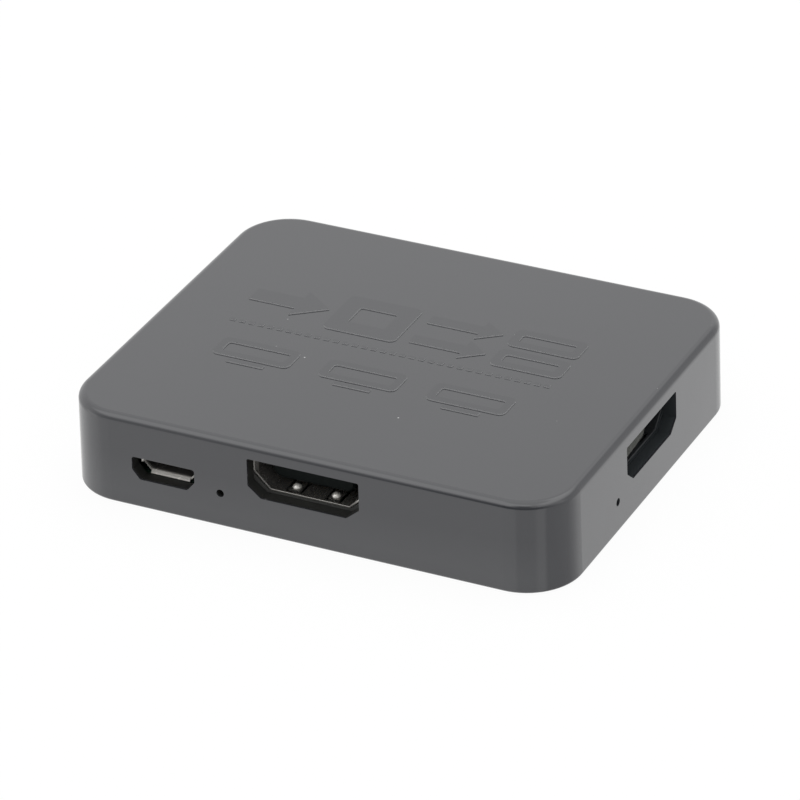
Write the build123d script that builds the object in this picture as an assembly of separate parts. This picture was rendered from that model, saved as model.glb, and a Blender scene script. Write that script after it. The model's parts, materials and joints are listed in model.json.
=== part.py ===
"""Video splitter: one input socket at the front, one output socket in each side, in a flat moulded case.

Millimetres. The origin is the middle of the underside. +Z is up, -Y is the front, +X is the right side.
"""
from build123d import *
import math
import os

# Case, outside
WIDTH = 66.0          # across the top face, along X
DEPTH = 54.5          # across the top face, along Y
HEIGHT = 12.2         # of the top face, without the marking on it
DRAFT = 0.2           # how much further each side stands out at the bottom than at the top
CORNER_R = 6.9
TOP_EDGE_R = 1.0
BOTTOM_EDGE_R = 0.45

# Case, inside
WALL = 1.65
CEILING = 10.95
LEDGE = 0.7           # rebate at the foot of the wall that takes the cover
COVER_T = 1.3
COVER_GAP = 0.1
COVER_EDGE = 0.12
LABEL_SIZE = (38.0, 26.0)
LABEL_R = 1.5
LABEL_DEPTH = 0.15

# Posts and screws
POST_X = 26.4
POST_Y = 20.65
POST_R = 2.5
RIB_T = 1.2
SCREW_R = 0.95
SCREW_HEAD_R = 1.9
SCREW_HEAD_T = 1.0
SCREW_TIP = 6.0       # height of the screw's end
PILOT_TOP = 7.2
SCREW_GAP = 0.05
SCREW_SINK = 0.12     # the head sits this far above the underside
CROSS = (2.0, 0.45, 1.0)

# Circuit board
BOARD_TOP = 4.0
BOARD_T = 1.6
BOARD_GAP = 0.3
BOARD_NOTCH_R = 3.1
BOARD_CORNER = 0.2    # the notch at a corner starts this far inside the post's middle
TAIL = 0.6            # how far solder legs reach below the board
SUPPORTS = [(-14.0, -9.0), (14.0, -9.0), (-14.0, 17.0), (14.0, 17.0)]
SUPPORT_R = 1.5
CLAMP_PINS = [(-22.5, 16.5), (22.5, 16.5), (-29.2, -12.4), (29.2, -12.4)]
CLAMP_R = 1.4

# Video socket, in its own frame: mouth at y 0, y into the case
VIDEO_HALF_TOP = 7.0
VIDEO_HALF_BOTTOM = 5.2
VIDEO_LOW = 5.7
VIDEO_KNEE = 7.5
VIDEO_HIGH = 10.25
VIDEO_LENGTH = 11.5
VIDEO_SHEET = 0.3
VIDEO_MOUTH = (VIDEO_HALF_TOP, VIDEO_HALF_BOTTOM, VIDEO_LOW, VIDEO_KNEE, VIDEO_HIGH, 0.2)
FLARE_DEPTH = 0.5      # the side walls widen over this depth to the outline below
FLARED_MOUTH = (7.38, VIDEO_HALF_BOTTOM, VIDEO_LOW, 7.88, VIDEO_HIGH, 0.2)
RIM_R = 0.1
TONGUE_WIDTH = 11.0
TONGUE_LOW = 6.85
TONGUE_HIGH = 8.55
TONGUE_FRONT = 1.1
TONGUE_CUT = 0.8       # chamfer along its lower sides
BLOCK_FRONT = 6.6
BLOCK_REAR = 12.7
INSULATOR_GAP = 0.04
FINGER_X = 2.63
FINGER_SHIFT = 0.23    # both springs of a wall sit this far off the middle
FINGER_TIP = 0.7
FINGER_LENGTH = 5.4
FINGER_WIDTH = 1.5
FINGER_SLOT = 0.35
FINGER_RISE = 0.12
DIMPLE_R = 0.57
DIMPLE_Y = 1.45
DIMPLE_SINK = 0.07     # its middle sits this far inside the spring
SIDE_FINGER_Z = (8.3, 9.5)
SIDE_FINGER_Y = (2.0, 4.0, 6.2)
LEG_YS = (2.2, 9.6)
LEG_HALF = 0.55
CONTACT_WIDTH = 0.3
CONTACT_T = 0.15
CONTACT_PROUD = 0.05
CONTACT_PITCH = 1.0
CONTACT_START = 0.45  # behind the front of the tongue
CONTACT_FOOT = 1.1
VIDEO_ROWS = ((10, TONGUE_HIGH - CONTACT_T + CONTACT_PROUD), (9, TONGUE_LOW - CONTACT_PROUD))

# Where the video sockets are
FRONT_MOUTH = 25.55   # distance of the input's mouth from the middle
SIDE_MOUTH = 31.25
SIDE_SHIFT = 0.54     # the side sockets sit this far behind the middle
SIDE_DROP = 0.18      # and this much lower than the input
VIDEO_WINDOW = (7.42, 5.68, 5.17, 6.6, 10.27, 0.25)

# Power socket, in its own frame
POWER_X = -18.88
POWER_HALF_TOP = 3.45
POWER_HALF_BOTTOM = 2.65
POWER_LOW = 4.5
POWER_KNEE = 5.35
POWER_HIGH = 6.35
POWER_INNER = (POWER_HALF_TOP, POWER_HALF_BOTTOM, POWER_LOW, POWER_KNEE, POWER_HIGH, 0.2)
POWER_SHEET = 0.25
POWER_LENGTH = 5.2
POWER_MOUTH = 25.25
POWER_LIP = 0.3       # how far the flared lips reach forward
POWER_FLARE = 0.22    # and how far outwards
POWER_LEG_YS = (1.4, 4.2)
POWER_LEG_HALF = 0.45
POWER_TONGUE = ((-1.9, 1.9), (0.9, 4.0), (5.42, 6.05))
POWER_BLOCK_FRONT = 3.9
POWER_BLOCK_REAR = 5.6
POWER_PITCH = 0.65
POWER_WINDOW = (4.25, 3.22, 4.0, 5.25, 6.98, 0.35)

# Lamps
LAMP_HOLE_R = 0.5
LAMP_BODY = (1.6, 0.8, 0.85)
LAMP_DOME_R = 0.3
LAMP_Z = 4.42
FRONT_LAMP_X = -11.17
SIDE_LAMP_Y = -9.75
FRONT_HOLE_Z = 4.64
SIDE_HOLE_Z = 4.2

# Parts on the board
CHIP = (0.0, 2.5)
CHIP_SIZE = 10.0
CHIP_LIFT = 0.1
MEMORY = (13.0, 13.5)
REGULATOR = (-18.5, -13.2)
INDUCTOR = (-8.5, -9.2)
CRYSTAL = (-12.0, 12.5)
RESERVOIRS = [(-25.0, -15.3), (13.5, -14.5)]
LEAD_T = 0.14
CHIP_PART = (1.6, 0.8)
SURGE_PART = (2.5, 1.0)

# Pictogram raised on the top face
MARK_RISE = 0.14
RULE_RISE = 0.1
MARK_SLOPE = 20       # degrees from upright, of the sides
MARK_X = (-23.6, 20.4)
MARK_MIDDLE = 6.3     # height on the face of the upper row
MARK_SPREAD = 2.6     # the two ways out lie this far above and below it
MARK_RULE = -0.5
MARK_SCREENS = (-16.4, -1.9, 12.6)
MARK_LOWER = -6.95
MARK_DASHES = (34, 0.6)   # how many, how thick

parts = {}


def upright(width, depth, radius, bottom, top):
    """Plate with rounded corners, centred on the origin."""
    return Pos(0, 0, bottom) * extrude(RectangleRounded(width, depth, radius), top - bottom)


def block(x, y, z, size_x, size_y, size_z):
    """Box that stands on height z, centred on x and y."""
    return Pos(x, y, z) * Box(size_x, size_y, size_z, align=(Align.CENTER, Align.CENTER, Align.MIN))


def span(x, y, z):
    """Box between pairs of coordinates."""
    middle = [(pair[0] + pair[1]) / 2 for pair in (x, y, z)]
    size = [pair[1] - pair[0] for pair in (x, y, z)]
    return Pos(*middle) * Box(*size)


def rod(x, y, bottom, top, radius):
    """Upright cylinder."""
    return Pos(x, y, bottom) * Cylinder(radius, top - bottom, align=(Align.CENTER, Align.CENTER, Align.MIN))


def mouth(half_top, half_bottom, low, knee, high, radius):
    """Outline of a socket: straight above the knee, chamfered below it."""
    right = [(half_bottom, low), (half_top, knee), (half_top, high)]
    left = [(-x, z) for x, z in reversed(right)]
    outline = Polygon(*right, *left, align=None)
    return Plane.XZ * fillet(outline.vertices(), radius)


def run(outline, start, end):
    """Carries an outline along Y from start to end."""
    return Pos(0, start, 0) * extrude(outline, -(end - start))


def along_x(points, middle, width):
    """Solid with the outline points, given as y and z, centred on x = middle."""
    return Pos(middle, 0, 0) * extrude(Plane.YZ * Polygon(*points, align=None), width / 2, both=True)


def along_z(points, low, high):
    """Solid with the outline points, given as x and y, from low to high."""
    middle = (low + high) / 2
    return Pos(0, 0, middle) * extrude(Polygon(*points, align=None), (high - low) / 2, both=True)


def side_place(side):
    """Frame of a side socket: side is +1 for the right one, -1 for the left one."""
    return Pos(side * SIDE_MOUTH, SIDE_SHIFT, -SIDE_DROP) * Rot(0, 0, side * 90)


FRONT_PLACE = Pos(0, -FRONT_MOUTH, 0)
POWER_PLACE = Pos(POWER_X, -POWER_MOUTH, 0)
VIDEO_PLACES = {"video_in": FRONT_PLACE, "video_out1": side_place(1), "video_out2": side_place(-1)}
POSTS = [(x, y) for x in (-POST_X, POST_X) for y in (-POST_Y, POST_Y)]
INNER = (WIDTH - 2 * WALL, DEPTH - 2 * WALL, CORNER_R - WALL)


# Case

def case_body():
    """Outside of the case, solid."""
    outline = RectangleRounded(WIDTH + 2 * DRAFT, DEPTH + 2 * DRAFT, CORNER_R + DRAFT)
    body = extrude(outline, HEIGHT, taper=math.degrees(math.atan(DRAFT / HEIGHT)))
    body = fillet(body.edges().group_by(Axis.Z)[-1], TOP_EDGE_R)
    return fillet(body.edges().group_by(Axis.Z)[0], BOTTOM_EDGE_R)


def window(outline, place):
    """Cutter for an opening in a wall, from well outside to just inside it."""
    return place * run(outline, -4, 0.4)


def windows():
    """Cutters for the three video openings, the power opening and the three pinholes."""
    cutters = [window(mouth(*VIDEO_WINDOW), place) for place in VIDEO_PLACES.values()]
    cutters.append(window(mouth(*POWER_WINDOW), POWER_PLACE))
    pin = Rot(90, 0, 0) * Cylinder(LAMP_HOLE_R, 8)
    cutters.append(Pos(FRONT_LAMP_X, -DEPTH / 2, FRONT_HOLE_Z) * pin)
    for side in (-1, 1):
        cutters.append(Pos(side * WIDTH / 2, SIDE_LAMP_Y, SIDE_HOLE_Z) * Rot(0, 0, 90) * pin)
    return cutters


def arrow(start, tip, y, thick, head):
    """Flat arrow along X."""
    neck = tip - head
    shaft = Pos((start + neck) / 2, y) * Rectangle(neck - start, thick)
    point = Polygon((neck, y - head * 0.75), (tip, y), (neck, y + head * 0.75), align=None)
    return shaft + point


def frame_mark(x, y, width, height, line):
    """Rounded rectangle drawn as a line."""
    outside = RectangleRounded(width, height, 0.9)
    return Pos(x, y) * (outside - RectangleRounded(width - 2 * line, height - 2 * line, 0.35))


def dashes(y, count, thick):
    """Broken rule across the width of the pictogram."""
    pitch = (MARK_X[1] - MARK_X[0]) / count
    dash = Rectangle(pitch * 0.6, thick)
    return [Pos(MARK_X[0] + pitch * (number + 0.5), y) * dash for number in range(count)]


def pictogram():
    """Bold shapes: one way into a box, two ways out to two frames, and below them three screens."""
    mark = [arrow(MARK_X[0], -13.0, MARK_MIDDLE, 2.8, 4.2)]
    mark.append(frame_mark(-7.0, MARK_MIDDLE, 10.0, 8.8, 2.5))
    for y in (MARK_MIDDLE - MARK_SPREAD, MARK_MIDDLE + MARK_SPREAD):
        mark.append(arrow(-0.4, 9.6, y, 1.9, 3.0))
        mark.append(frame_mark(15.6, y, 9.6, 4.2, 1.25))
    for x in MARK_SCREENS:
        mark.append(frame_mark(x, MARK_LOWER, 10.6, 4.3, 1.1))
        mark.append(Pos(x, MARK_LOWER - 3.05) * Rectangle(5.0, 0.7))
    return mark


def raised(shape, rise):
    """Flat shape raised on the top face, with sloping sides."""
    return Pos(0, 0, HEIGHT - 0.01) * extrude(shape, rise + 0.01, taper=MARK_SLOPE)


def top_shell():
    """Top plate, four walls, posts and clamp pins in one moulding."""
    shell = case_body() - upright(*INNER, -1, CEILING)
    rebate = (INNER[0] + 2 * LEDGE, INNER[1] + 2 * LEDGE, INNER[2] + LEDGE)
    shell -= upright(*rebate, -1, COVER_T)
    room = upright(*INNER, COVER_T, CEILING + 0.1)
    for x, y in POSTS:
        shell += rod(x, y, COVER_T, CEILING + 0.1, POST_R) & room
        ribs = block(x + math.copysign(3, x), y, BOARD_TOP, 6, RIB_T, CEILING - BOARD_TOP)
        ribs += block(x, y + math.copysign(3, y), BOARD_TOP, RIB_T, 6, CEILING - BOARD_TOP)
        shell += ribs & room
    for x, y in CLAMP_PINS:
        shell += rod(x, y, BOARD_TOP, CEILING + 0.1, CLAMP_R)
    for x, y in POSTS:
        shell -= rod(x, y, 0, PILOT_TOP, SCREW_R + SCREW_GAP)
    for cutter in windows():
        shell -= cutter
    for shape in pictogram():
        shell += raised(shape, MARK_RISE)
    for dash in dashes(MARK_RULE, *MARK_DASHES):
        shell += raised(dash, RULE_RISE)
    return shell


def screw_cone(x, y, grow):
    """Countersunk head, or with a positive grow the seat for it."""
    upwards = (Align.CENTER, Align.CENTER, Align.MIN)
    head = Cone(SCREW_HEAD_R + grow, SCREW_R + grow, SCREW_HEAD_T, align=upwards)
    return Pos(x, y, SCREW_SINK - grow) * head


def bottom_cover():
    """Inset plate with screw seats, board supports and a bare recess for a label."""
    size = (INNER[0] + 2 * (LEDGE - COVER_GAP), INNER[1] + 2 * (LEDGE - COVER_GAP))
    cover = upright(*size, INNER[2] + LEDGE - COVER_GAP, 0, COVER_T)
    cover = chamfer(cover.edges().group_by(Axis.Z)[0], COVER_EDGE)
    for x, y in SUPPORTS:
        cover += rod(x, y, COVER_T - 0.1, BOARD_TOP - BOARD_T, SUPPORT_R)
    for x, y in POSTS:
        cover -= rod(x, y, -1, COVER_T + 1, SCREW_R + SCREW_GAP)
        cover -= screw_cone(x, y, SCREW_GAP)
        cover -= rod(x, y, -1, SCREW_SINK, SCREW_HEAD_R + SCREW_GAP)
    cover -= upright(*LABEL_SIZE, LABEL_R, -1, LABEL_DEPTH)
    return cover


def case_screws():
    """Four countersunk screws with cross recesses."""
    screws = []
    for x, y in POSTS:
        screw = screw_cone(x, y, 0)
        screw += rod(x, y, SCREW_SINK + SCREW_HEAD_T - 0.01, SCREW_TIP, SCREW_R)
        for turn in (45, 135):
            screw -= Pos(x, y, SCREW_SINK) * Rot(0, 0, turn) * Box(*CROSS)
        screws.append(screw)
    return screws


# Video sockets

def finger(x, wall, inwards):
    """Spring finger of the top or bottom wall, with its dimple; inwards is +1 or -1."""
    tip = FINGER_TIP
    root = tip + FINGER_LENGTH
    half = VIDEO_SHEET / 2
    middle = wall - inwards * half
    rise = inwards * FINGER_RISE
    line = [(tip, middle + rise), (root - 1.8, middle + rise * 0.8), (root + 0.3, middle)]
    low = [(y, z - half) for y, z in line]
    high = [(y, z + half) for y, z in reversed(line)]
    strip = along_x(low + high, x, FINGER_WIDTH)
    crown = wall + inwards * (FINGER_RISE * 0.9 - DIMPLE_SINK)
    dimple = Pos(x, DIMPLE_Y, crown) * Sphere(DIMPLE_R)
    keep = span((x - 1, x + 1), (0, 3), sorted((crown - inwards * 0.2, crown + inwards * 1)))
    return strip + (dimple & keep)


def finger_slot(x, wall):
    """Opening round a spring finger."""
    width = FINGER_WIDTH + 2 * FINGER_SLOT
    depth = (FINGER_TIP - FINGER_SLOT, FINGER_TIP + FINGER_LENGTH)
    return span((x - width / 2, x + width / 2), depth, (wall - 0.6, wall + 0.6))


def side_finger(side):
    """Spring finger of a side wall, bent a little inwards."""
    wall = side * (VIDEO_HALF_TOP + VIDEO_SHEET / 2)
    half = VIDEO_SHEET / 2
    line = list(zip((wall - side * 0.25, wall - side * 0.2, wall), SIDE_FINGER_Y))
    outline = [(x - half, y) for x, y in line] + [(x + half, y) for x, y in reversed(line)]
    return along_z(outline, *SIDE_FINGER_Z)


def sheet_leg(side, wall, sheet, y, half, top, floor):
    """Solder leg in line with a side wall, from height top down through the board under floor."""
    faces = sorted((side * wall, side * (wall + sheet)))
    return span(faces, (y - half, y + half), (floor - BOARD_T - TAIL, top))


def flare(grow):
    """Solid between the wider mouth outline and the straight one behind it, both grown alike."""
    front = offset(mouth(*FLARED_MOUTH), grow) if grow else mouth(*FLARED_MOUTH)
    back = offset(mouth(*VIDEO_MOUTH), grow) if grow else mouth(*VIDEO_MOUTH)
    return loft([front, Pos(0, FLARE_DEPTH, 0) * back])


def video_tube():
    """Shell of a video socket without its fingers and legs: flared mouth, rounded rim."""
    inner = mouth(*VIDEO_MOUTH)
    tube = run(offset(inner, VIDEO_SHEET), FLARE_DEPTH, VIDEO_LENGTH) + flare(VIDEO_SHEET)
    tube -= run(inner, FLARE_DEPTH, VIDEO_LENGTH + 1) + flare(0)
    return fillet(tube.faces().sort_by(Axis.Y)[0].edges(), RIM_R)


def video_shell(floor):
    """Stamped shell with spring fingers on four sides and four solder legs; floor is the board's top."""
    shell = video_tube()
    for side in (-1, 1):
        spring_x = side * FINGER_X + FINGER_SHIFT
        for wall in (VIDEO_LOW, VIDEO_HIGH):
            shell -= finger_slot(spring_x, wall)
        edge = side * (VIDEO_HALF_TOP + VIDEO_SHEET / 2)
        depth = (SIDE_FINGER_Y[0] - FINGER_SLOT, SIDE_FINGER_Y[2] - 0.2)
        shell -= span((edge - 0.5, edge + 0.5), depth, (SIDE_FINGER_Z[0] - 0.3, SIDE_FINGER_Z[1] + 0.3))
        shell += side_finger(side)
        shell += finger(spring_x, VIDEO_LOW, 1)
        shell += finger(spring_x, VIDEO_HIGH, -1)
        for y in LEG_YS:
            shell += sheet_leg(side, VIDEO_HALF_TOP, VIDEO_SHEET, y, LEG_HALF, VIDEO_KNEE + 0.4, floor)
    return shell


def video_contacts(floor):
    """Two rows of strips along the tongue, each with a tail down to the board."""
    strips = []
    for count, z in VIDEO_ROWS:
        for number in range(count):
            x = (number - (count - 1) / 2) * CONTACT_PITCH
            strips.append(contact(x, z, TONGUE_FRONT + CONTACT_START, BLOCK_REAR, CONTACT_T, floor))
    return strips


def contact(x, z, front, rear, thick, floor):
    """Strip along Y that bends down behind the block and lies on the board."""
    back = rear + 0.05
    sides = (x - CONTACT_WIDTH / 2, x + CONTACT_WIDTH / 2)
    strip = span(sides, (front, back + thick), (z, z + thick))
    strip += span(sides, (back, back + thick), (floor, z + thick / 2))
    strip += span(sides, (back, back + CONTACT_FOOT), (floor, floor + thick))
    return strip


def video_insulator(strips, floor):
    """Tongue and block that carry the contacts."""
    inside = offset(mouth(*VIDEO_MOUTH), -INSULATOR_GAP)
    body = run(inside, BLOCK_FRONT, VIDEO_LENGTH)
    half = TONGUE_WIDTH / 2
    tongue = span((-half, half), (TONGUE_FRONT, BLOCK_FRONT + 0.1), (TONGUE_LOW, TONGUE_HIGH))
    tongue = chamfer(tongue.edges().filter_by(Axis.Y).group_by(Axis.Z)[0], TONGUE_CUT)
    body += chamfer(tongue.faces().sort_by(Axis.Y)[0].edges(), 0.25)
    body += span((-7.1, 7.1), (VIDEO_LENGTH + 0.03, BLOCK_REAR), (floor, VIDEO_HIGH - 0.2))
    body += span((-5.5, 5.5), (VIDEO_LENGTH - 0.1, VIDEO_LENGTH + 0.1), (VIDEO_LOW + 0.3, VIDEO_HIGH - 0.3))
    for strip in strips:
        body -= strip
    return body


# Power socket

def power_shell():
    """Small stamped shell with flared lips at its mouth and four solder legs."""
    inner = mouth(*POWER_INNER)
    shell = run(offset(inner, POWER_SHEET), 0, POWER_LENGTH) - run(inner, -1, POWER_LENGTH + 1)
    shell += power_lip(POWER_HALF_BOTTOM, POWER_LOW, -1)
    shell += power_lip(POWER_HALF_TOP - 0.35, POWER_HIGH, 1)
    for side in (-1, 1):
        shell += power_side_lip(side)
        for y in POWER_LEG_YS:
            leg = sheet_leg(side, POWER_HALF_TOP, POWER_SHEET, y, POWER_LEG_HALF, POWER_KNEE + 0.3, BOARD_TOP)
            shell += leg
    return shell


def power_lip(half, wall, way):
    """Flared edge of the top (way +1) or bottom (way -1) wall of the power socket."""
    thick = way * POWER_SHEET
    drop = way * POWER_FLARE
    side = [(0.05, wall), (0.0, wall), (-POWER_LIP, wall + drop)]
    side += [(-POWER_LIP - 0.05, wall + drop + thick * 0.8), (0.05, wall + thick)]
    return along_x(side, 0, 2 * half)


def power_side_lip(side):
    """Flared edge of a side wall of the power socket."""
    wall = side * POWER_HALF_TOP
    thick = side * POWER_SHEET
    out = side * POWER_FLARE
    top = [(wall, 0.05), (wall, 0.0), (wall + out, -POWER_LIP), (wall + out + thick * 0.8, -POWER_LIP - 0.05)]
    top += [(wall + thick, 0.05)]
    return along_z(top, POWER_KNEE + 0.1, POWER_KNEE + 0.85)


def power_contacts():
    """Five strips under the tongue of the power socket."""
    under = POWER_TONGUE[2][0] - 0.04
    front = POWER_TONGUE[1][0] + 0.4
    places = [(number - 2) * POWER_PITCH for number in range(5)]
    return [contact(x, under, front, POWER_BLOCK_REAR, 0.12, BOARD_TOP) for x in places]


def power_insulator(strips):
    """Tongue and block of the power socket."""
    body = run(offset(mouth(*POWER_INNER), -INSULATOR_GAP), POWER_BLOCK_FRONT, POWER_BLOCK_REAR)
    body += span(*POWER_TONGUE)
    body += span((-3.0, 3.0), (POWER_LENGTH + 0.02, POWER_BLOCK_REAR), (BOARD_TOP, POWER_LOW + 0.2))
    for strip in strips:
        body -= strip
    return body


# Circuit board and what is soldered to it

def board_slots():
    """Cutters for the solder legs of the sockets."""
    slot = span((-0.35, 0.35), (-LEG_HALF - 0.15, LEG_HALF + 0.15), (0, BOARD_TOP + 0.5))
    cutters = []
    for side in (-1, 1):
        x = side * (VIDEO_HALF_TOP + VIDEO_SHEET / 2)
        cutters += [place * Pos(x, y, 0) * slot for place in VIDEO_PLACES.values() for y in LEG_YS]
        x = side * (POWER_HALF_TOP + POWER_SHEET / 2)
        cutters += [POWER_PLACE * Pos(x, y, 0) * slot for y in POWER_LEG_YS]
    return cutters


def circuit_board():
    """Board with notches round the posts, slots for legs and a notch under the power socket's lip."""
    width, depth, radius = INNER
    size = (width - 2 * BOARD_GAP, depth - 2 * BOARD_GAP, radius - BOARD_GAP)
    board = upright(*size, BOARD_TOP - BOARD_T, BOARD_TOP)
    for x, y in POSTS:
        board -= rod(x, y, 0, CEILING, BOARD_NOTCH_R)
        shift = CORNER_R / 2 - BOARD_CORNER
        corner = block(math.copysign(shift, x), math.copysign(shift, y), 0, CORNER_R, CORNER_R, CEILING)
        board -= Pos(x, y, 0) * corner
    board -= POWER_PLACE * span((-4.2, 4.2), (-2, 0.1), (0, CEILING))
    for cutter in board_slots():
        board -= cutter
    return board


def gull_lead(reach, rise, width):
    """Bent lead that leaves a chip's side at height rise and lands on the board, along +X from 0."""
    bend = reach * 0.4
    line = [(-0.02, rise), (bend, rise), (bend + 0.12, LEAD_T), (reach, LEAD_T)]
    line += [(reach, 0), (bend, 0), (bend - 0.12, rise - LEAD_T), (-0.02, rise - LEAD_T)]
    flat = Plane.XZ * Polygon(*line, align=None)
    return Pos(0, 0, BOARD_TOP) * extrude(flat, width / 2, both=True)


def chip(x, y, size_x, size_y, height):
    """Moulded chip body with slightly sloping sides and a round pin mark."""
    body = Pos(x, y, BOARD_TOP + CHIP_LIFT) * extrude(Rectangle(size_x, size_y), height, taper=5)
    mark = min(size_x, size_y) * 0.08
    top = BOARD_TOP + CHIP_LIFT + height
    return body - rod(x - size_x * 0.36, y - size_y * 0.34, top - 0.08, top + 1, mark)


def lead_row(x, y, turn, count, pitch, distance, width, rise=0.75):
    """Leads along one side of a chip at x, y; turn 0 is its +X side."""
    lead = gull_lead(1.0, rise, width)
    places = [(number - (count - 1) / 2) * pitch for number in range(count)]
    return [Pos(x, y, 0) * Rot(0, 0, turn) * Pos(distance, place, 0) * lead for place in places]


def splitter_leads():
    """Sixteen leads on each of four sides."""
    leads = []
    for turn in (0, 90, 180, 270):
        leads += lead_row(*CHIP, turn, 16, 0.5, CHIP_SIZE / 2 + 0.02, 0.2)
    return leads


def memory_leads():
    """Four leads on each long side."""
    return lead_row(*MEMORY, 90, 4, 1.27, 1.97, 0.4) + lead_row(*MEMORY, 270, 4, 1.27, 1.97, 0.4)


def regulator_leads():
    """Three leads and one wide tab."""
    return lead_row(*REGULATOR, 270, 3, 2.3, 1.77, 0.7) + lead_row(*REGULATOR, 90, 1, 1, 1.77, 3.0)


def power_inductor():
    """Square base with a round wound core in it."""
    base = block(*INDUCTOR, BOARD_TOP, 5.0, 5.0, 0.6)
    base = fillet(base.edges().filter_by(Axis.Z), 0.8)
    coil = rod(*INDUCTOR, BOARD_TOP + 0.5, BOARD_TOP + 2.6, 2.1)
    return base + fillet(coil.edges().group_by(Axis.Z)[-1], 0.3)


def clock_crystal():
    """Flat metal can with round ends on a thin base."""
    base = Pos(*CRYSTAL) * upright(11.4, 4.6, 1.2, BOARD_TOP, BOARD_TOP + 0.6)
    can = Pos(*CRYSTAL) * upright(10.2, 3.8, 1.85, BOARD_TOP + 0.5, BOARD_TOP + 3.4)
    return base + fillet(can.edges().group_by(Axis.Z)[-1], 0.4)


def reservoir_capacitors():
    """Two round cans on square bases with two cut corners."""
    cans = []
    for x, y in RESERVOIRS:
        base = block(x, y, BOARD_TOP, 4.3, 4.3, 0.7)
        edges = base.edges().filter_by(Axis.Z).group_by(Axis.Y)[-1]
        base = chamfer(edges, 0.9)
        can = rod(x, y, BOARD_TOP + 0.6, BOARD_TOP + 5.4, 2.0)
        cans.append(base + fillet(can.edges().group_by(Axis.Z)[-1], 0.25))
    return cans


def small_blocks(places, size, height):
    """Row of rectangular board parts; each place is x, y and True where it stands across."""
    blocks = []
    for x, y, across in places:
        long, short = size
        size_x, size_y = (short, long) if across else (long, short)
        blocks.append(block(x, y, BOARD_TOP, size_x, size_y, height))
    return blocks


def capacitor_places():
    """Ceramic capacitors round the splitter chip and behind the sockets."""
    places = [(CHIP[0] + 8.2 * s, CHIP[1] - 4.5 + 2.2 * n, True) for s in (-1, 1) for n in range(5)]
    places += [(-4.4 + 2.2 * n, 11.4, False) for n in range(5)]
    places += [(-3.0, 19.5, False), (0.0, 19.5, False), (3.0, 19.5, False)]
    return places


def resistor_places():
    """Resistors in rows at the back and beside the lamps."""
    places = [(-6.0 + 2.4 * n, 15.4, True) for n in range(6)]
    places += [(FRONT_LAMP_X, -20.3, False)]
    places += [(side * 27.5, SIDE_LAMP_Y - 0.4, False) for side in (-1, 1)]
    places += [(14.0 + 2.0 * n, 18.2, True) for n in range(3)]
    return places


def surge_places():
    """Surge arrays just behind each video socket."""
    places = [(x, -FRONT_MOUTH + 15.4, False) for x in (-3.2, 0.0, 3.2)]
    places += [(s * (SIDE_MOUTH - 15.4), SIDE_SHIFT + y, True) for s in (-1, 1) for y in (-3.2, 0.0, 3.2)]
    return places


def lamp(place):
    """Side-looking lamp with a small clear dome, seen along +Y."""
    body = block(0, 0.9, BOARD_TOP, *LAMP_BODY)
    dome = Pos(0, 0.5, LAMP_Z) * Rot(90, 0, 0) * Cylinder(LAMP_DOME_R, 0.25)
    return place * (body + dome)


def add_video_sockets():
    """Three sockets, each as shell, contacts and insulator; the side ones stand lower over the board."""
    for name, place in VIDEO_PLACES.items():
        floor = BOARD_TOP if name == "video_in" else BOARD_TOP + SIDE_DROP
        shell = video_shell(floor)
        strips = video_contacts(floor)
        holder = video_insulator(strips, floor)
        parts[name + "_shell"] = [place * shell]
        parts[name + "_contacts"] = [place * strip for strip in strips]
        parts[name + "_insulator"] = [place * holder]


def add_power_socket():
    """Shell, contacts and insulator of the power socket."""
    strips = power_contacts()
    parts["power_socket_shell"] = [POWER_PLACE * power_shell()]
    parts["power_socket_contacts"] = [POWER_PLACE * strip for strip in strips]
    parts["power_socket_insulator"] = [POWER_PLACE * power_insulator(strips)]


def add_board():
    """The circuit board and everything soldered to it but the sockets."""
    parts["circuit_board"] = [circuit_board()]
    parts["splitter_chip"] = [chip(*CHIP, CHIP_SIZE, CHIP_SIZE, 1.4)]
    parts["splitter_chip_leads"] = splitter_leads()
    parts["memory_chip"] = [chip(*MEMORY, 4.9, 3.9, 1.4)]
    parts["memory_chip_leads"] = memory_leads()
    parts["voltage_regulator"] = [chip(*REGULATOR, 6.5, 3.5, 1.6)]
    parts["voltage_regulator_leads"] = regulator_leads()
    parts["power_inductor"] = [power_inductor()]
    parts["clock_crystal"] = [clock_crystal()]
    parts["reservoir_capacitors"] = reservoir_capacitors()
    parts["ceramic_capacitors"] = small_blocks(capacitor_places(), CHIP_PART, 0.8)
    parts["chip_resistors"] = small_blocks(resistor_places(), CHIP_PART, 0.45)
    parts["surge_arrays"] = small_blocks(surge_places(), SURGE_PART, 0.55)
    parts["power_lamp"] = [lamp(Pos(FRONT_LAMP_X, -FRONT_MOUTH, 0))]
    parts["out1_lamp"] = [lamp(Pos(SIDE_MOUTH, SIDE_LAMP_Y, 0) * Rot(0, 0, 90))]
    parts["out2_lamp"] = [lamp(Pos(-SIDE_MOUTH, SIDE_LAMP_Y, 0) * Rot(0, 0, -90))]


def write_parts():
    """One STEP file for each node."""
    os.makedirs("parts", exist_ok=True)
    for name, solids in parts.items():
        pieces = [solid for item in solids for solid in item.solids()]
        shape = pieces[0] if len(pieces) == 1 else Compound(children=pieces)
        export_step(shape, f"parts/{name}.step")
        print(name, len(pieces), round(sum(piece.volume for piece in pieces), 2))


parts["top_shell"] = [top_shell()]
parts["bottom_cover"] = [bottom_cover()]
parts["case_screws"] = case_screws()
add_video_sockets()
add_power_socket()
add_board()
write_parts()
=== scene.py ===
import json
import math
import random

import bpy
from mathutils import Matrix, Vector


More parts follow.
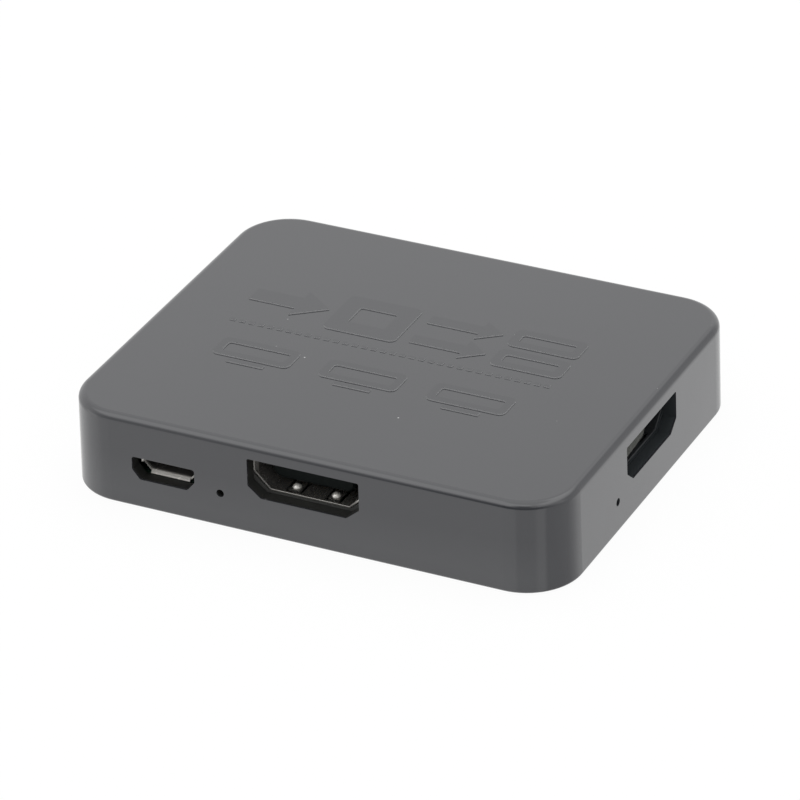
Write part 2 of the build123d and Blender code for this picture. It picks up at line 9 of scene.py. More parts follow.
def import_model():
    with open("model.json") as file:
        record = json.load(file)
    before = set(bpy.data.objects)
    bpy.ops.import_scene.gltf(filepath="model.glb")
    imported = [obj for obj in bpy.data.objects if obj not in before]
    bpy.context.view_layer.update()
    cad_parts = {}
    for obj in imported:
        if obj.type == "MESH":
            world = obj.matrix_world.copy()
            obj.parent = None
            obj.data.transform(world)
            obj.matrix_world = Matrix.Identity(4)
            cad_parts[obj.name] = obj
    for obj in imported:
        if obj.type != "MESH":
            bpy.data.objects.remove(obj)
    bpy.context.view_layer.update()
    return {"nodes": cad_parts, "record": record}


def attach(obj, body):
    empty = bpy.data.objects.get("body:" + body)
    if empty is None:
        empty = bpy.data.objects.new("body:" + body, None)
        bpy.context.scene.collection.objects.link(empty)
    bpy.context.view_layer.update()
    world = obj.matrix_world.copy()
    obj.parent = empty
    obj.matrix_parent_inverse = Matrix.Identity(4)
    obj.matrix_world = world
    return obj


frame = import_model()

MM = 0.001

# Middle of the rounded corner at the right of the back
CORNER_MIDDLE = (26.1 * MM, 20.35 * MM, 0.0)

# Camera, fitted to the outline of the case in the photograph
IMAGE = 800
CAMERA_AZIMUTH = 26.656
CAMERA_ELEVATION = 29.895
CAMERA_ROLL = -1.736
CAMERA_DISTANCE = 639.103 * MM
CAMERA_SHIFT = (-0.374 * MM, -0.273 * MM)
CAMERA_HEIGHT = 5.9 * MM
CAMERA_CLIP = (0.01, 50.0)
FOCAL_PIXELS = 5197.98
SENSOR = 36.0

# Floor, in metres; its share of plain white for the camera and its colour for everything else
FLOOR_SIZE = 6.0
FLOOR_DROP = 0.00002
FLOOR_SHARE = 0.95
FLOOR_GREY = 0.86

# Overhead lamp, in metres
LAMP_PLACE = (0.0, 0.2, 0.7)
LAMP_SIZE = (0.6, 0.5)
LAMP_WATTS = 1.6

# Lamps and dark places around the box as mirror rays see them, the later ones over the earlier ones.
# Each has the angles across (0 front, 90 right, 180 back) where it starts, is full, starts to end and
# has ended, the same four angles up from the horizon, and its level, where 1 is white.
ALL_ROUND = (-200, -199, 199, 200)
DOWN = -95
SURROUNDINGS = [
    (ALL_ROUND, (-2, 6, 98, 99), 1.16),
    (ALL_ROUND, (38, 68, 98, 99), 1.52),
    ((-118, -100, -60, -45), (DOWN, DOWN, -8, 6), 1.08),
    ((-84, -74, -58, -42), (-24, -14, -8, 6), 1.4),
    ((0, 6, 38, 46), (DOWN, DOWN, 0, 8), 0.84),
    ((57, 64, 112, 142), (DOWN, DOWN, 3, 10), 0.7),
    ((110, 141, 170, 185), (-28, -20, -16, -9), 1.28),
    ((95, 110, 158, 176), (-12, -5, 33, 42), 0.84),
    ((-95, -70, 25, 45), (30, 42, 66, 72), 1.98),
    ((45, 70, 176, 190), (34, 54, 66, 72), 2.05),
    ((-70, -34, -24, -22), (-9, -3, 20, 28), 0.6),
    ((-25, -22, 45, 95), (-7, 0, 22, 29), 0.1),
    ((-12, 8, 26, 50), (20, 27, 40, 55), 0.25),
]

# Part of the surroundings that the top face mirrors, and its level at two heights in degrees
TOP_VIEW = ((-185, -168, -134, -120), (20, 25, 32, 35))
TOP_VIEW_RISE = (28.4, 31.0)
TOP_VIEW_LEVELS = (1.17, 1.1)

# Part that the right side mirrors: where it begins, where it ends upwards, and how its level
# rises and then falls along it, as angles and numbers
SIDE_VIEW_START = (153.0, 155.2)
SIDE_VIEW_TOP = (-26.0, -22.0)
SIDE_VIEW_RISING = (155.3, 157.3, 1.05, 1.36)
SIDE_VIEW_FALLING = (157.8, 162.0, 1.0, 0.8)

# Places on the case between which its looks change, in millimetres
CORNER_SKIN = (6.7, 6.8)
RECESS_TOP = (10.9, 11.1)
MARK_HEIGHT = (12.202, 12.215)
FOOT_HEIGHT = (2.0, 7.0)
FOOT_DEPTH = (-27.0, -24.0)
POWER_WINDOW_X = 18.9
POWER_WINDOW_HALF = (5.0, 7.0)
RIGHT_WINDOW = (20.0, 24.0)

# Upward part of a normal between which a surface begins to count as facing up
FACING_UP = (0.5, 0.9)

# Colours of the case, roughness and gloss of its parts; a pair is a range
CASE_TINT = ((0.028, 0.029, 0.0335, 1.0), (0.031, 0.032, 0.0365, 1.0))
# Painted light: a lighter tint on the lower part of the front face
FOOT_PAINTED_LIGHT_TINT = (0.042, 0.0435, 0.048, 1.0)
# Painted shade: darker tints on the walls of the openings, brownish at the front and bluish in the right-hand
# window
FRONT_WALL_SHADE_TINT = (0.02, 0.0205, 0.019, 1.0)
RIGHT_WALL_SHADE_TINT = (0.0225, 0.0265, 0.029, 1.0)
# Painted highlight: light grey on the sides of the raised marking, so its edges read as lit lines
MARK_SIDE_HIGHLIGHT_TINT = (0.24, 0.242, 0.247, 1.0)
POWER_WALL_SHADE = 0.75
CASE_POLISH = (0.07, 0.11)
MARK_SIDE_POLISH = 0.6
RECESS_POLISH = 0.5
CASE_GLOSS, MARK_GLOSS, RECESS_GLOSS = 0.5, 0.44, 0.2
CASE_IOR = 1.7

# Patterns on the case, in cells per metre, and the relief they give, in metres
CLOUD_SCALE = 60.0
FINE_SCALE = 2200.0
RIPPLE_SCALE = 130.0
STREAK_STRETCH = (1400.0, 1400.0, 60.0)
RIPPLE_DEPTH = 0.000006
STREAK_DEPTH = 0.0000004
GRAIN_DEPTH = 0.0000006

# Fine dust: its cells per metre, how they are scattered, and the part of both that shows
DUST_SCALE = 420.0
DUST_SCATTER = 700.0
DUST_SIZE = (0.05, 0.02)
DUST_RARITY = (0.7, 0.75)

# Larger specks of dust on the top face, and how far they reach in millimetres
SPECKS = ((-10.48 * MM, -5.61 * MM, 12.2 * MM), (6.48 * MM, -14.36 * MM, 12.2 * MM))
SPECK_REACH = (0.06, 0.14)
DUST_GREY = 0.4

# Places on the sockets between which the looks of their steel change, in millimetres
SIDE_SOCKETS = (12.0, 24.0)
SIDE_SOCKETS_FRONT = (-18.0, -14.0)
RIM_RIGHT_END = (6.2, 6.9)
FLARE_LEFT_END = (-7.1, -6.9)
RIM_DEPTH = (-25.46, -25.4)
SPRING_TIP_HEIGHT = (5.84, 5.88)
SPRING_TIP_HALF = (4.2, 4.4)
POWER_SOCKET = (9.0, 11.0)
POWER_MOUTH = (-25.25, -24.85)
POWER_CORNER = (-21.65, -21.45)
POWER_LEFT_END = (-22.55, -22.45)
POWER_RIGHT_END = (-16.0, -15.7)

# Steel of the sockets: its colours, and the painted shade and painted highlight that scale them in each place
STEEL_TINT = ((0.7, 0.68, 0.64, 1.0), (0.82, 0.8, 0.76, 1.0))
# Painted shade: near-black steel for the side sockets
SIDE_STEEL_SHADE_TINT = ((0.02, 0.022, 0.024, 1.0), (0.032, 0.035, 0.038, 1.0))
RIM_SHADE_LEVELS = (0.38, 0.75)
INSIDE_SHADE_LEVELS = (0.2, 0.46)
SPRING_TIP_HIGHLIGHT_LEVEL = 1.2
POWER_SHADE_LEVELS = (1.0, 0.13)
POWER_CORNER_SHADE_LEVEL = 0.4
POWER_RIGHT_END_SHADE_LEVEL = 0.35
STEEL_METALLIC, SPRING_TIP_METALLIC, OUTER_METALLIC = 0.85, 0.5, 0.3
STEEL_ROUGHNESS = (0.22, 0.3)
SIDE_STEEL_ROUGHNESS = 0.45
STEEL_STRETCH = (900.0, 300.0, 900.0)
STEEL_DEPTH = 0.000001

# Parts of a noise's range in use, and strength of relief, on plastics and on metals
PLASTIC_SPAN = (0.3, 0.7)
METAL_SPAN = (0.25, 0.75)
PLASTIC_RELIEF = 0.6
METAL_RELIEF = 0.5
PLASTIC_CLOUD_SCALE = 300.0

# Clear resin of the lamps
LAMP_TINT = ((0.5, 0.52, 0.5, 1), (0.7, 0.72, 0.68, 1))
LAMP_CLOUD_SCALE = 900.0
LAMP_CLEARNESS = 0.4
LAMP_ROUGHNESS = (0.1, 0.2)

# Plain plastics: two colours, range of roughness, size of the grain, its depth, gloss
PLASTICS = {
    "cover_plastic": ((0.035, 0.036, 0.038), (0.045, 0.046, 0.048), (0.45, 0.6), 0.0004, 0.00003, 0.5),
    # socket_plastic is darker and greener than black plastic: painted shade for the insides of the sockets
    "socket_plastic": ((0.0022, 0.004, 0.0036), (0.0035, 0.0058, 0.0054), (0.45, 0.6), 0.0003, 0.000004, 0.1),
    "board_laminate": ((0.005, 0.014, 0.009), (0.01, 0.026, 0.018), (0.25, 0.4), 0.0008, 0.00002, 0.5),
    "chip_resin": ((0.018, 0.018, 0.019), (0.03, 0.03, 0.031), (0.5, 0.65), 0.00015, 0.00001, 0.5),
    "ferrite": ((0.05, 0.05, 0.05), (0.09, 0.09, 0.09), (0.6, 0.75), 0.0002, 0.00001, 0.5),
    "ceramic": ((0.4, 0.28, 0.16), (0.55, 0.4, 0.25), (0.45, 0.6), 0.0002, 0.000006, 0.5),
    "resistor_body": ((0.02, 0.02, 0.022), (0.04, 0.04, 0.045), (0.3, 0.45), 0.0002, 0.000006, 0.5),
    # Painted light on the front sills and painted shade, bluish, on the side sills: two copies of the same
    # black plastic
    "front_edge_lit_plastic": ((0.045, 0.045, 0.043), (0.062, 0.063, 0.06), (0.5, 0.65), 0.0003, 0.000004, 0.2),
    "side_edge_shaded_plastic": ((0.02, 0.024, 0.0265), (0.03, 0.0345, 0.038), (0.5, 0.65), 0.0003, 0.000004, 0.2),
    "film_plastic": ((0.006, 0.007, 0.005), (0.05, 0.052, 0.044), (0.4, 0.6), 0.0002, 0.00004, 0.2),
}

# Plain metals: two colours, range of roughness, stretch of the drawing marks, their depth
METALS = {
    "screw_steel": ((0.1, 0.1, 0.11), (0.2, 0.2, 0.21), (0.3, 0.45), (3000, 3000, 600), 0.000004),
    "contact_metal": ((0.75, 0.5, 0.18), (0.9, 0.66, 0.3), (0.15, 0.3), (3000, 3000, 3000), 0.000002),
    "lead_tin": ((0.6, 0.6, 0.6), (0.75, 0.75, 0.74), (0.3, 0.45), (3000, 3000, 3000), 0.000003),
    "can_metal": ((0.7, 0.7, 0.7), (0.82, 0.82, 0.82), (0.25, 0.4), (1200, 1200, 4000), 0.000003),
}

# Film of plastic left by the mould at the top edge of the right-hand window; its lower edge is
# given as places along the window and heights
FILM_EDGE = ((-6.9 * MM, 8.62 * MM), (-6.4 * MM, 8.72 * MM), (-3.5 * MM, 8.95 * MM), (-1.9 * MM, 9.2 * MM),
             (-1.4 * MM, 9.9 * MM))
FILM_TOP = 10.12 * MM
FILM_FACE = 32.95 * MM
FILM_THICKNESS = 0.1 * MM
FILM_COLUMNS, FILM_ROWS = 60, 10
FILM_RAGGED = 0.06 * MM
FILM_WAVE = 0.02 * MM
FILM_SEED = 4

# Edges under the mouths of the video sockets, in millimetres in a socket's own frame
SILL_INSIDE = ((-7.66, 10.0), (-7.66, 7.7), (-7.5, 7.4), (-5.42, 5.45), (-5.2, 5.42),
               (5.2, 5.42), (5.42, 5.45), (7.5, 7.4), (7.66, 7.7), (7.66, 10.0))
SILL_OUTSIDE = ((-8.0, 10.0), (-8.0, 6.6), (-7.7, 6.1), (-6.0, 4.95), (-5.6, 4.9),
                (5.6, 4.9), (6.0, 4.95), (7.7, 6.1), (8.0, 6.6), (8.0, 10.0))
SILL_DEPTHS = (-0.04, 0.3)

# Turn of each video socket about the upright axis, and its place
SOCKETS = {
    "video_in": (0, (0.0, -25.55 * MM, 0.0)),
    "video_out1": (90, (31.25 * MM, 0.54 * MM, -0.18 * MM)),
    "video_out2": (-90, (-31.25 * MM, 0.54 * MM, -0.18 * MM)),
}


# Node helpers

def add(tree, kind, inputs=None, **settings):
    """New node; inputs are values or sockets, by name or by index."""
    made = tree.nodes.new(kind)
    for key, value in settings.items():
        setattr(made, key, value)
    for key, value in (inputs or {}).items():
        if isinstance(value, bpy.types.NodeSocket):
            tree.links.new(value, made.inputs[key])
        else:
            made.inputs[key].default_value = value
    return made


def maths(tree, operation, a, b=0.0, c=0.0):
    """Result of a Math node."""
    return add(tree, "ShaderNodeMath", {0: a, 1: b, 2: c}, operation=operation).outputs[0]


def vector_maths(tree, operation, a, b=(0.0, 0.0, 0.0)):
    """Vector that a Vector Math node gives."""
    return add(tree, "ShaderNodeVectorMath", {0: a, 1: b}, operation=operation).outputs["Vector"]


def parts_of(tree, vector):
    """The three parts of a vector."""
    return add(tree, "ShaderNodeSeparateXYZ", {0: vector}).outputs


def noise(tree, vector, scale, detail):
    """Noise value from 0 to 1."""
    inputs = {"Vector": vector, "Scale": scale, "Detail": detail}
    return add(tree, "ShaderNodeTexNoise", inputs).outputs[0]


def spread(tree, value, low, high, to_low, to_high):
    """Value carried from one range to another, held at its ends."""
    inputs = {"Value": value, "From Min": low, "From Max": high, "To Min": to_low, "To Max": to_high}
    return add(tree, "ShaderNodeMapRange", inputs).outputs[0]


def change(tree, value, places, before=0.0, after=1.0):
    """One number before the first of two places in millimetres, another after the second."""
    return spread(tree, value, places[0] * MM, places[1] * MM, before, after)


def blend(tree, share, a, b):
    """Number between a and b."""
    return add(tree, "ShaderNodeMix", {0: share, 2: a, 3: b}).outputs[0]


def mix_colours(tree, share, a, b):
    """Colour between a and b."""
    return add(tree, "ShaderNodeMix", {0: share, 6: a, 7: b}, data_type="RGBA").outputs[2]


def scaled(tree, colour, factor):
    """Colour times a number."""
    return add(tree, "ShaderNodeVectorMath", {0: colour, "Scale": factor}, operation="SCALE").outputs[0]


def stretched(tree, vector, factors):
    """Vector scaled along each axis."""
    return add(tree, "ShaderNodeMapping", {"Vector": vector, "Scale": factors}).outputs[0]


def bump(tree, height, distance, strength=1.0, normal=None):
    """Normal of a bumped surface; distance is in metres."""
    inputs = {"Height": height, "Distance": distance, "Strength": strength}
    if normal is not None:
        inputs["Normal"] = normal
    return add(tree, "ShaderNodeBump", inputs).outputs[0]


def new_material(name):
    """Empty material, its tree, its Principled shader and its object coordinates."""
    material = bpy.data.materials.new(name)
    material.use_nodes = True
    tree = material.node_tree
    tree.nodes.clear()
    shader = add(tree, "ShaderNodeBsdfPrincipled")
    output = add(tree, "ShaderNodeOutputMaterial")
    tree.links.new(shader.outputs[0], output.inputs["Surface"])
    place = add(tree, "ShaderNodeTexCoord").outputs["Object"]
    return material, tree, shader, place


def grey(value):
    """Neutral colour."""
    return (value, value, value, 1.0)


# Materials

def recess_share(tree, place, height):
    """1 on the walls of the openings, 0 on the outside of the case."""
    over = vector_maths(tree, "SUBTRACT", vector_maths(tree, "ABSOLUTE", place), CORNER_MIDDLE)
    ahead = vector_maths(tree, "MAXIMUM", over)
    level = vector_maths(tree, "MULTIPLY", ahead, (1.0, 1.0, 0.0))
    distance = add(tree, "ShaderNodeVectorMath", {0: level}, operation="LENGTH").outputs["Value"]
    inside = change(tree, distance, CORNER_SKIN, 1.0, 0.0)
    return maths(tree, "MULTIPLY", inside, change(tree, height, RECESS_TOP, 1.0, 0.0))


def case_colour(tree, place, recess):
    """Colour of the case, with painted light at the foot of the front and painted shade on the walls of the
    openings, deepest beside the power window.
    """
    sideways, depth, height = parts_of(tree, place)
    tint = mix_colours(tree, noise(tree, place, CLOUD_SCALE, 3.0), *CASE_TINT)
    # Painted light on the lower part of the front face
    foot = maths(tree, "MULTIPLY", change(tree, height, FOOT_HEIGHT, 1.0, 0.0),
                 change(tree, depth, FOOT_DEPTH, 1.0, 0.0))
    tint = mix_colours(tree, foot, tint, FOOT_PAINTED_LIGHT_TINT)
    # Painted shade on the walls of the openings, deeper beside the power window and bluish in the right-hand
    # window
    off_power = maths(tree, "ABSOLUTE", maths(tree, "ADD", sideways, POWER_WINDOW_X * MM))
    shade = change(tree, off_power, POWER_WINDOW_HALF, POWER_WALL_SHADE, 1.0)
    shaded_wall = mix_colours(tree, change(tree, sideways, RIGHT_WINDOW), FRONT_WALL_SHADE_TINT, RIGHT_WALL_SHADE_TINT)
    return mix_colours(tree, recess, tint, scaled(tree, shaded_wall, shade))


def dust_share(tree, place):
    """1 on fine scattered dust and on the larger specks, 0 elsewhere."""
    speck = add(tree, "ShaderNodeTexVoronoi", {"Vector": place, "Scale": DUST_SCALE}).outputs["Distance"]
    rare = spread(tree, noise(tree, place, DUST_SCATTER, 0.0), *DUST_RARITY, 0.0, 1.0)
    dust = maths(tree, "MULTIPLY", spread(tree, speck, *DUST_SIZE, 0.0, 1.0), rare)
    for spot in SPECKS:
        gap = add(tree, "ShaderNodeVectorMath", {0: place, 1: spot}, operation="DISTANCE").outputs["Value"]
        dust = maths(tree, "MAXIMUM", dust, change(tree, gap, SPECK_REACH, 1.0, 0.0))
    return dust


def case_plastic():
    """Polished dark plastic with a faint ripple, moulding streaks on the walls and a few dust specks, painted
    light and shade from case_colour, and a painted highlight on the sides of the marking.
    """
    material, tree, shader, place = new_material("case_plastic")
    height = parts_of(tree, place)["Z"]
    recess = recess_share(tree, place, height)
    above = change(tree, height, MARK_HEIGHT)
    normal = add(tree, "ShaderNodeNewGeometry").outputs["True Normal"]
    upward = spread(tree, parts_of(tree, normal)["Z"], *FACING_UP, 0.0, 1.0)
    mark = maths(tree, "MULTIPLY", above, upward)
    mark_side = maths(tree, "SUBTRACT", above, mark)
    # Painted highlight on the sides of the marking
    tint = mix_colours(tree, mark_side, case_colour(tree, place, recess), MARK_SIDE_HIGHLIGHT_TINT)
    tint = mix_colours(tree, dust_share(tree, place), tint, grey(DUST_GREY))
    tree.links.new(tint, shader.inputs["Base Color"])
    fine = noise(tree, place, FINE_SCALE, 3.0)
    polish = blend(tree, mark_side, spread(tree, fine, *PLASTIC_SPAN, *CASE_POLISH), MARK_SIDE_POLISH)
    tree.links.new(blend(tree, recess, polish, RECESS_POLISH), shader.inputs["Roughness"])
    gloss = blend(tree, mark, CASE_GLOSS, MARK_GLOSS)
    tree.links.new(blend(tree, recess, gloss, RECESS_GLOSS), shader.inputs["Specular IOR Level"])
    shader.inputs["IOR"].default_value = CASE_IOR
    ripple = bump(tree, noise(tree, place, RIPPLE_SCALE, 1.0), RIPPLE_DEPTH)
    streaks = noise(tree, stretched(tree, place, STREAK_STRETCH), 1.0, 2.0)
    streaked = bump(tree, streaks, STREAK_DEPTH, normal=ripple)
    tree.links.new(bump(tree, fine, GRAIN_DEPTH, normal=streaked), shader.inputs["Normal"])
    return material


def plain_plastic(name, low, high, rough, grain_size, depth, gloss):
    """Moulded plastic between two colours with a grain of the given size."""
    material, tree, shader, place = new_material(name)
    cloud = noise(tree, place, PLASTIC_CLOUD_SCALE, 3.0)
    tree.links.new(mix_colours(tree, cloud, (*low, 1.0), (*high, 1.0)), shader.inputs["Base Color"])
    grain = noise(tree, place, 1.0 / grain_size, 4.0)
    tree.links.new(spread(tree, grain, *PLASTIC_SPAN, *rough), shader.inputs["Roughness"])
    shader.inputs["Specular IOR Level"].default_value = gloss
    tree.links.new(bump(tree, grain, depth, PLASTIC_RELIEF), shader.inputs["Normal"])
    return material


def plain_metal(name, low, high, rough, stretch, depth):
    """Metal between two colours with drawing marks along one axis."""
    material, tree, shader, place = new_material(name)
    shader.inputs["Metallic"].default_value = 1.0
    marks = noise(tree, stretched(tree, place, stretch), 1.0, 4.0)
    tree.links.new(mix_colours(tree, marks, (*low, 1.0), (*high, 1.0)), shader.inputs["Base Color"])
    tree.links.new(spread(tree, marks, *METAL_SPAN, *rough), shader.inputs["Roughness"])
    tree.links.new(bump(tree, marks, depth, METAL_RELIEF), shader.inputs["Normal"])
    return material


def steel_painted_light(tree, sideways, depth, tip, outer):
    """Painted shade and painted highlight on the steel's colour in the front sockets, as a factor."""
    rim = change(tree, sideways, RIM_RIGHT_END, *RIM_SHADE_LEVELS)
    inside = change(tree, sideways, FLARE_LEFT_END, *INSIDE_SHADE_LEVELS)
    middle = blend(tree, change(tree, depth, RIM_DEPTH), rim, inside)
    middle = blend(tree, tip, middle, SPRING_TIP_HIGHLIGHT_LEVEL)
    corner = maths(tree, "MAXIMUM", change(tree, sideways, POWER_CORNER, POWER_CORNER_SHADE_LEVEL, 1.0),
                   change(tree, sideways, POWER_LEFT_END, 1.0, 0.0))
    power = maths(tree, "MULTIPLY", change(tree, depth, POWER_MOUTH, *POWER_SHADE_LEVELS), corner)
    right_end = change(tree, sideways, POWER_RIGHT_END, 1.0, POWER_RIGHT_END_SHADE_LEVEL)
    return blend(tree, outer, middle, maths(tree, "MULTIPLY", power, right_end))


def socket_steel():
    """Nickel-plated sheet with painted shade: near black in the side sockets, darkened inside the front
    sockets and less on their rims, with a painted highlight on the tips of the springs.
    """
    material, tree, shader, place = new_material("socket_steel")
    marks = noise(tree, stretched(tree, place, STEEL_STRETCH), 1.0, 4.0)
    sideways, depth, height = parts_of(tree, place)
    off_middle = maths(tree, "ABSOLUTE", sideways)
    side = maths(tree, "MULTIPLY", change(tree, off_middle, SIDE_SOCKETS),
                 change(tree, depth, SIDE_SOCKETS_FRONT))
    tip = maths(tree, "MULTIPLY", change(tree, height, SPRING_TIP_HEIGHT),
                change(tree, off_middle, SPRING_TIP_HALF, 1.0, 0.0))
    outer = change(tree, off_middle, POWER_SOCKET)
    # Painted shade and painted highlight on the front sockets' steel
    level = steel_painted_light(tree, sideways, depth, tip, outer)
    front_painted_tint = scaled(tree, mix_colours(tree, marks, *STEEL_TINT), level)
    # Painted shade: the side sockets' steel is near black
    side_shaded_tint = mix_colours(tree, marks, *SIDE_STEEL_SHADE_TINT)
    tree.links.new(mix_colours(tree, side, front_painted_tint, side_shaded_tint), shader.inputs["Base Color"])
    metal = blend(tree, outer, blend(tree, tip, STEEL_METALLIC, SPRING_TIP_METALLIC), OUTER_METALLIC)
    tree.links.new(metal, shader.inputs["Metallic"])
    rough = spread(tree, marks, *METAL_SPAN, *STEEL_ROUGHNESS)
    tree.links.new(blend(tree, side, rough, SIDE_STEEL_ROUGHNESS), shader.inputs["Roughness"])
    tree.links.new(bump(tree, marks, STEEL_DEPTH, METAL_RELIEF), shader.inputs["Normal"])
    return material


def lamp_resin():
    """Clear resin of the small lamps."""
    material, tree, shader, place = new_material("lamp_resin")
    cloud = noise(tree, place, LAMP_CLOUD_SCALE, 2.0)
    tree.links.new(mix_colours(tree, cloud, *LAMP_TINT), shader.inputs["Base Color"])
    shader.inputs["Transmission Weight"].default_value = LAMP_CLEARNESS
    tree.links.new(spread(tree, cloud, *PLASTIC_SPAN, *LAMP_ROUGHNESS), shader.inputs["Roughness"])
    return material


def materials():
    """One material for each slot of the record and for each piece made here."""
    made = {"case_plastic": case_plastic(), "socket_steel": socket_steel(), "lamp_resin": lamp_resin()}
    for name, settings in PLASTICS.items():
        made[name] = plain_plastic(name, *settings)
    for name, settings in METALS.items():
        made[name] = plain_metal(name, *settings)
    return made


def dress(finishes):
    """Gives each node of the frame the material of its slot."""
    slots = {row["node"]: row["material_slot"] for row in frame["record"]["subparts"]}
    for name, piece in frame["nodes"].items():
        for slot in piece.material_slots:
            slot.material = finishes[slots[name]]


# Pieces

def mesh_piece(name, points, faces, finish):
    """New object in the scene."""
    mesh = bpy.data.meshes.new(name)
    mesh.from_pydata(points, [], faces)
    mesh.materials.append(finish)
    piece = bpy.data.objects.new(name, mesh)
    bpy.context.scene.collection.objects.link(piece)
    return piece


def film_bottom(along):
    """Height of the ragged lower edge of the film of plastic, by its place along the window."""
    for (start, low), (end, high) in zip(FILM_EDGE, FILM_EDGE[1:]):
        if along <= end:
            share = (along - start) / (end - start)
            return low + (high - low) * share
    return FILM_EDGE[-1][1]


def film_points():
    """Points of the film, first its outer face and then its inner face, by column and row."""
    rough = random.Random(FILM_SEED)
    start, end = FILM_EDGE[0][0], FILM_EDGE[-1][0]
    points = []
    for face in (0.0, -FILM_THICKNESS):
        for column in range(FILM_COLUMNS + 1):
            along = start + (end - start) * column / FILM_COLUMNS
            low = film_bottom(along) + rough.uniform(-FILM_RAGGED, FILM_RAGGED)
            for row in range(FILM_ROWS + 1):
                wave = rough.uniform(-FILM_WAVE, FILM_WAVE)
                points.append((FILM_FACE + face + wave, along, low + (FILM_TOP - low) * row / FILM_ROWS))
    return points


def film(finish):
    """Thin film of plastic that the mould left along the top edge of the right-hand window."""
    tall = FILM_ROWS + 1
    back = (FILM_COLUMNS + 1) * tall
    quads = []
    for column in range(FILM_COLUMNS):
        for row in range(FILM_ROWS):
            here = column * tall + row
            quads.append((here, here + tall, here + tall + 1, here + 1))
            quads.append((back + here, back + here + 1, back + here + tall + 1, back + here + tall))
        for row in (0, FILM_ROWS):
            here = column * tall + row
            quads.append((here, back + here, back + here + tall, here + tall))
    for column in (0, FILM_COLUMNS):
        for row in range(FILM_ROWS):
            here = column * tall + row
            quads.append((here, here + 1, back + here + 1, back + here))
    piece = mesh_piece("window_film", film_points(), quads, finish)
    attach(piece, "root")


def sill(name, turn, place, finish):
    """Black edge that fills the gap between a video socket and the window below and beside it."""
    matrix = Matrix.Translation(place) @ Matrix.Rotation(math.radians(turn), 4, "Z")
    points = []
    for depth in SILL_DEPTHS:
        for outline in (SILL_INSIDE, SILL_OUTSIDE):
            points += [matrix @ Vector((x * MM, depth * MM, height * MM)) for x, height in outline]
    count = len(SILL_INSIDE)
    quads = []
    for step in range(count - 1):
        inside, outside, inside_back, outside_back = (step + count * row for row in range(4))
        quads.append((inside, outside, outside + 1, inside + 1))
        quads.append((inside_back, inside_back + 1, outside_back + 1, outside_back))
        quads.append((inside, inside + 1, inside_back + 1, inside_back))
        quads.append((outside, outside_back, outside_back + 1, outside + 1))
    for step in (0, count - 1):
        quads.append((step, step + count, step + 3 * count, step + 2 * count))
    piece = mesh_piece(name, points, quads, finish)
    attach(piece, "root")


# Studio

def camera():
    """Camera at the photograph's place."""
    azimuth = math.radians(CAMERA_AZIMUTH)
    elevation = math.radians(CAMERA_ELEVATION)
    roll = math.radians(CAMERA_ROLL)
    level = math.cos(elevation)
    back = Vector((math.sin(azimuth) * level, -math.cos(azimuth) * level, math.sin(elevation)))
    right = Vector((math.cos(azimuth), math.sin(azimuth), 0.0))
    up = back.cross(right)
    turned_right = right * math.cos(roll) + up * math.sin(roll)
    turned_up = up * math.cos(roll) - right * math.sin(roll)
    target = Vector((0.0, 0.0, CAMERA_HEIGHT))
    target += turned_right * CAMERA_SHIFT[0] + turned_up * CAMERA_SHIFT[1]
    data = bpy.data.cameras.new("camera")
    data.sensor_width = SENSOR
    data.lens = FOCAL_PIXELS * SENSOR / IMAGE
    data.clip_start, data.clip_end = CAMERA_CLIP
    holder = bpy.data.objects.new("camera", data)
    turn = Matrix((turned_right, turned_up, back)).transposed().to_4x4()
    holder.matrix_world = Matrix.Translation(target + back * CAMERA_DISTANCE) @ turn
    bpy.context.scene.collection.objects.link(holder)
    bpy.context.scene.camera = holder


def seen_share(tree):
    """1 for camera, mirror and through rays, 0 for the others."""
    path = add(tree, "ShaderNodeLightPath").outputs
    share = maths(tree, "MAXIMUM", path["Is Camera Ray"], path["Is Glossy Ray"])
    return maths(tree, "MAXIMUM", share, path["Is Transmission Ray"])


def floor():
    """Pale floor that shows white where no shadow falls."""
    mesh = bpy.data.meshes.new("floor")
    half = FLOOR_SIZE / 2
    corners = [(-half, -half, 0), (half, -half, 0), (half, half, 0), (-half, half, 0)]
    mesh.from_pydata(corners, [], [(0, 1, 2, 3)])
    ground = bpy.data.objects.new("floor", mesh)
    ground.location.z = -FLOOR_DROP
    ground.visible_glossy = False
    bpy.context.scene.collection.objects.link(ground)
    material = bpy.data.materials.new("floor")
    material.use_nodes = True
    tree = material.node_tree
    tree.nodes.clear()
    paper = add(tree, "ShaderNodeBsdfDiffuse", {"Color": grey(FLOOR_GREY)})
    glow = add(tree, "ShaderNodeEmission", {"Color": grey(1.0), "Strength": 1.0})
    share = maths(tree, "MULTIPLY", seen_share(tree), FLOOR_SHARE)
    both = add(tree, "ShaderNodeMixShader", {0: share, 1: paper.outputs[0], 2: glow.outputs[0]})
    output = add(tree, "ShaderNodeOutputMaterial")
    tree.links.new(both.outputs[0], output.inputs["Surface"])
    mesh.materials.append(material)


def ramp_share(tree, value, starts, full, ending, ended):
    """1 between two values, 0 outside, with soft ends."""
    rising = spread(tree, value, starts, full, 0.0, 1.0) if full > starts else 1.0
    return maths(tree, "MULTIPLY", rising, spread(tree, value, ending, ended, 1.0, 0.0))


def place_share(tree, across, rise, corners_across, corners_rise):
    """1 in one part of the surroundings, 0 elsewhere."""
    middle = (corners_across[0] + corners_across[3]) / 2
    turned = maths(tree, "WRAP", across, middle + 180.0, middle - 180.0)
    share = ramp_share(tree, turned, *corners_across)
    return maths(tree, "MULTIPLY", share, ramp_share(tree, rise, *corners_rise))


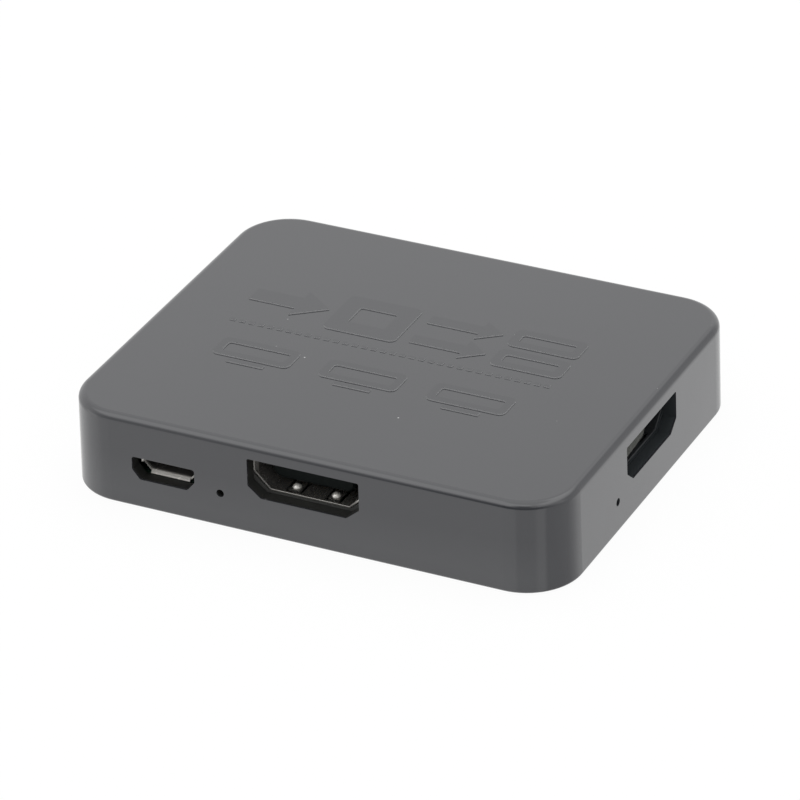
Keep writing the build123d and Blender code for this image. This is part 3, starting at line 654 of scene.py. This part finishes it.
def mirror_levels(tree):
    """Brightness of the surroundings in the direction of a mirror ray."""
    way = add(tree, "ShaderNodeTexCoord").outputs["Generated"]
    sideways, depth, height = parts_of(tree, way)
    forward = maths(tree, "MULTIPLY", depth, -1.0)
    across = maths(tree, "DEGREES", maths(tree, "ARCTAN2", sideways, forward))
    rise = maths(tree, "DEGREES", maths(tree, "ARCSINE", height))
    level = 1.0
    for corners_across, corners_rise, there in SURROUNDINGS:
        level = blend(tree, place_share(tree, across, rise, corners_across, corners_rise), level, there)
    top = spread(tree, rise, *TOP_VIEW_RISE, *TOP_VIEW_LEVELS)
    level = blend(tree, place_share(tree, across, rise, *TOP_VIEW), level, top)
    side = maths(tree, "MULTIPLY", spread(tree, across, *SIDE_VIEW_RISING),
                 spread(tree, across, *SIDE_VIEW_FALLING))
    share = maths(tree, "MULTIPLY", spread(tree, across, *SIDE_VIEW_START, 0.0, 1.0),
                  spread(tree, rise, *SIDE_VIEW_TOP, 1.0, 0.0))
    return blend(tree, share, level, side)


def world():
    """Even light for the matt part of each surface, lamps and dark places for its mirror part."""
    made = bpy.data.worlds.new("studio")
    bpy.context.scene.world = made
    made.use_nodes = True
    tree = made.node_tree
    tree.nodes.clear()
    mirror = add(tree, "ShaderNodeLightPath").outputs["Is Glossy Ray"]
    level = blend(tree, mirror, 1.0, mirror_levels(tree))
    glow = add(tree, "ShaderNodeBackground", {"Color": grey(1.0), "Strength": level})
    output = add(tree, "ShaderNodeOutputWorld")
    tree.links.new(glow.outputs[0], output.inputs["Surface"])


def overhead_lamp():
    """Rectangular lamp that faces the box from above and isn't mirrored in it."""
    data = bpy.data.lights.new("overhead", "AREA")
    data.shape = "RECTANGLE"
    data.size, data.size_y = LAMP_SIZE
    data.energy = LAMP_WATTS
    lamp = bpy.data.objects.new("overhead", data)
    lamp.visible_glossy = False
    lamp.location = LAMP_PLACE
    lamp.rotation_mode = "QUATERNION"
    lamp.rotation_quaternion = Vector(LAMP_PLACE).to_track_quat("Z", "Y")
    bpy.context.scene.collection.objects.link(lamp)


finishes = materials()
dress(finishes)
for socket, (turn, place) in SOCKETS.items():
    # The front sills get the painted-light copy of the plastic, the side sills the painted-shade copy
    edge = "side_edge_shaded_plastic" if turn else "front_edge_lit_plastic"
    sill(socket + "_sill", turn, place, finishes[edge])
film(finishes["film_plastic"])
floor()
world()
overhead_lamp()
camera()
bpy.context.scene.view_settings.view_transform = "Standard"
